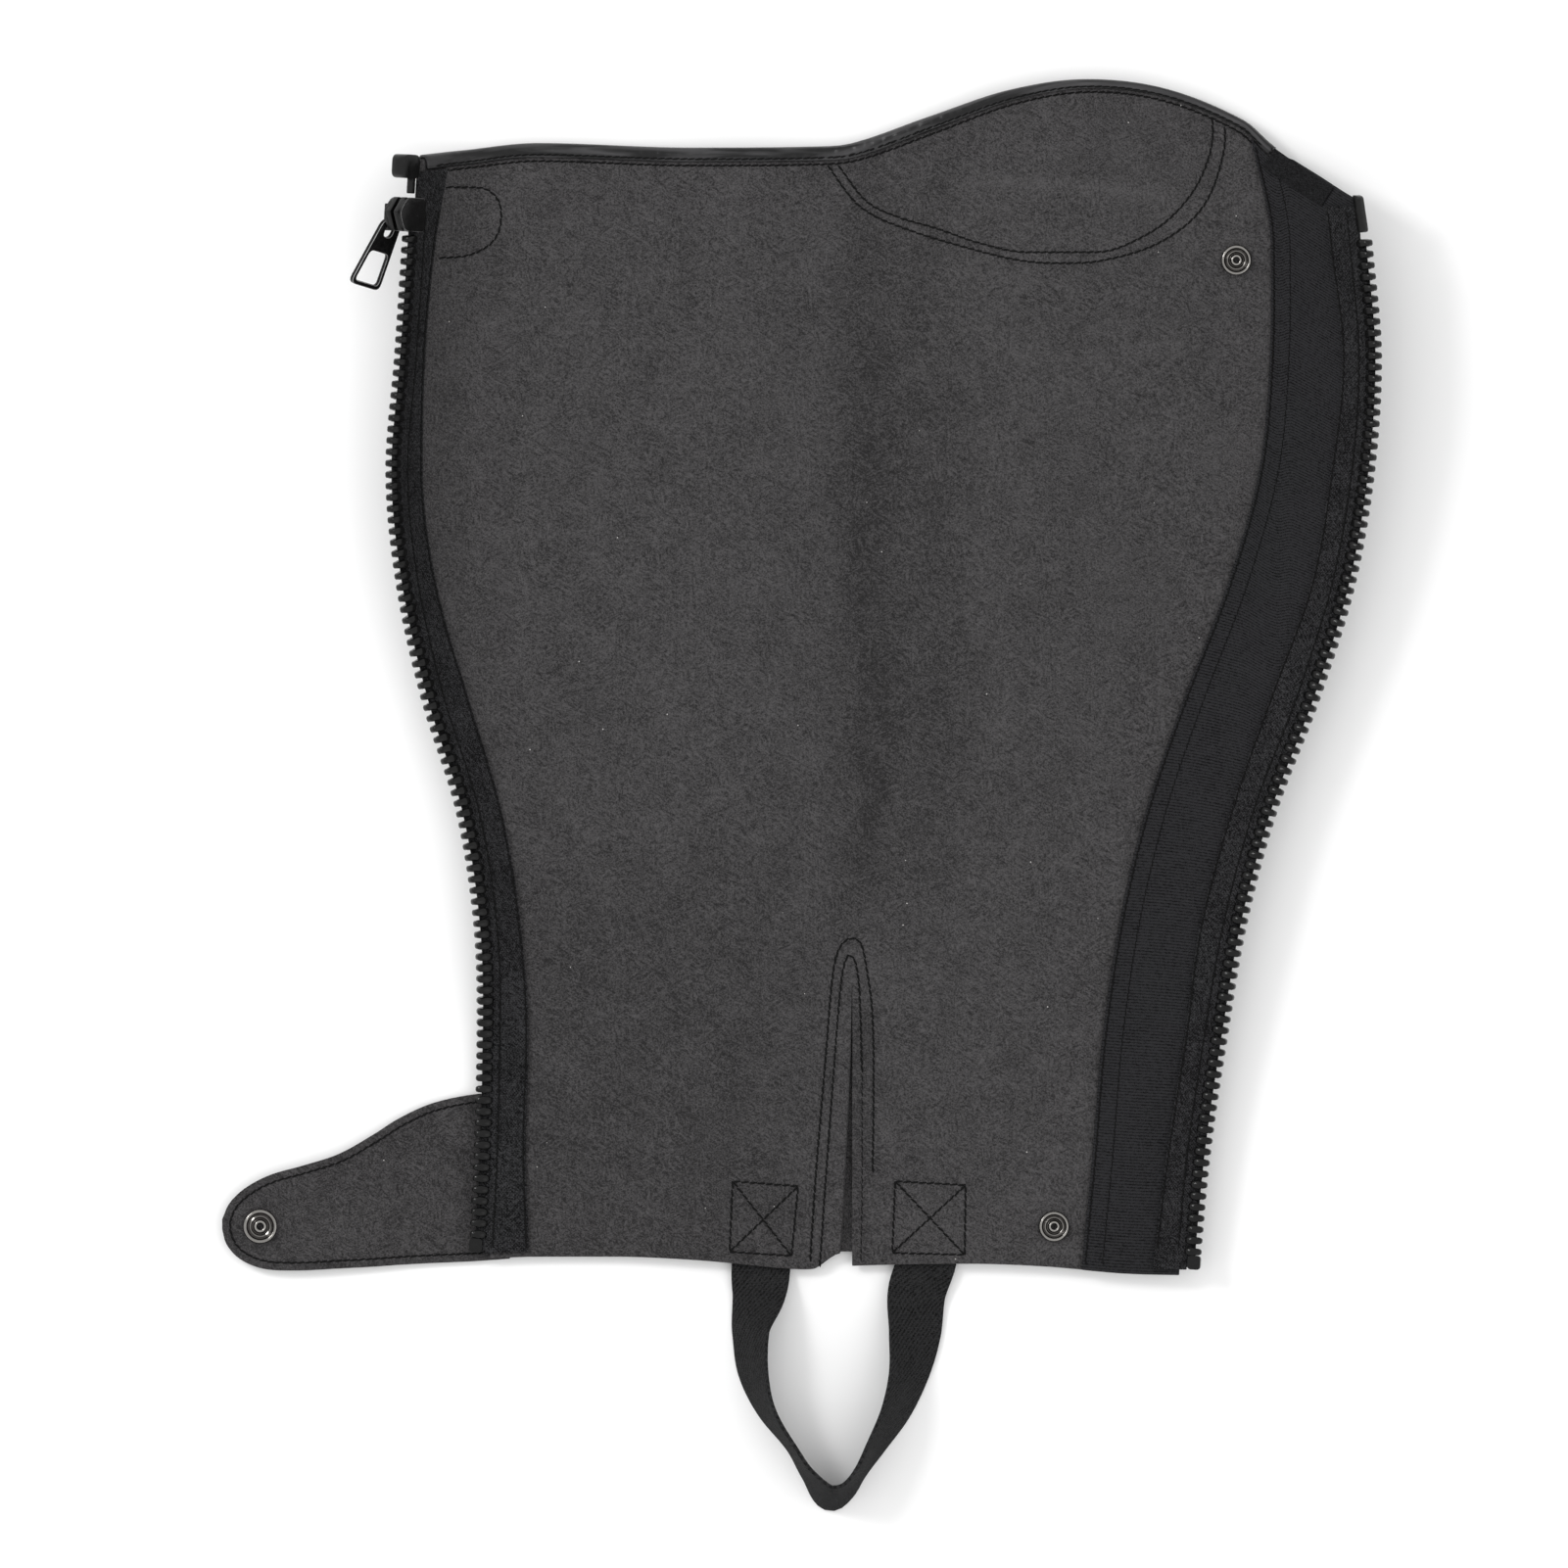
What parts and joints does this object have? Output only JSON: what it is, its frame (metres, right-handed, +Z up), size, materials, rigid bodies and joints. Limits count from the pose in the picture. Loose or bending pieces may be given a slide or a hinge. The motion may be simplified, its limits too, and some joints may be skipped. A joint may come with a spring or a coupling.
{
  "type": "riding half chap",
  "caption": "Half chap, unzipped and laid flat inside up: shaped leg panel with slit, elastic gusset, side zip halves, ankle flap with snap, foot strap.",
  "frame": {"origin": "on the floor under the middle of the outline of the whole half chap as it lies", "axes": "+Z up, out of the lining; +Y from the foot strap towards the knee; +X towards the elastic gusset"},
  "size_m": [0.4142, 0.5132, 0.0365],
  "materials": {
    "microfibre": "brushed grey microfibre lining",
    "synthetic_leather": "black synthetic leather",
    "ribbed_elastic": "black ribbed elastic",
    "zip_tape": "black woven tape",
    "zip_plastic": "black moulded plastic",
    "black_metal": "black enamel",
    "snap_metal": "gunmetal plating",
    "webbing": "black twill webbing"
  },
  "bodies": {
    "chap": {"main_panel": "microfibre", "slit_inset": "synthetic_leather", "knee_overlay": "synthetic_leather", "tab_base": "synthetic_leather", "top_binding": "synthetic_leather", "elastic_gusset": "ribbed_elastic", "zip_tape_left": "zip_tape", "zip_tape_right": "zip_tape", "zip_teeth_left": "zip_plastic", "zip_teeth_right": "zip_plastic", "zip_stop_left": "zip_plastic", "zip_stop_right": "zip_plastic", "zip_pin": "zip_plastic", "zip_box": "zip_plastic", "zip_slider": "black_metal", "ankle_flap": "microfibre", "flap_snap": "snap_metal", "stud_lower": "snap_metal", "stud_upper": "snap_metal", "foot_strap": "webbing"},
    "zip_pull": {"zip_pull": "black_metal"}
  },
  "joints": [
    {"name": "pull_swing", "type": "hinge", "parent": "chap", "child": "zip_pull", "pos_m": [-0.14623, 0.20325, 0.0249], "axis": [0.6313, -0.0392, -0.7745], "range_deg": [-15, 105]}
  ]
}
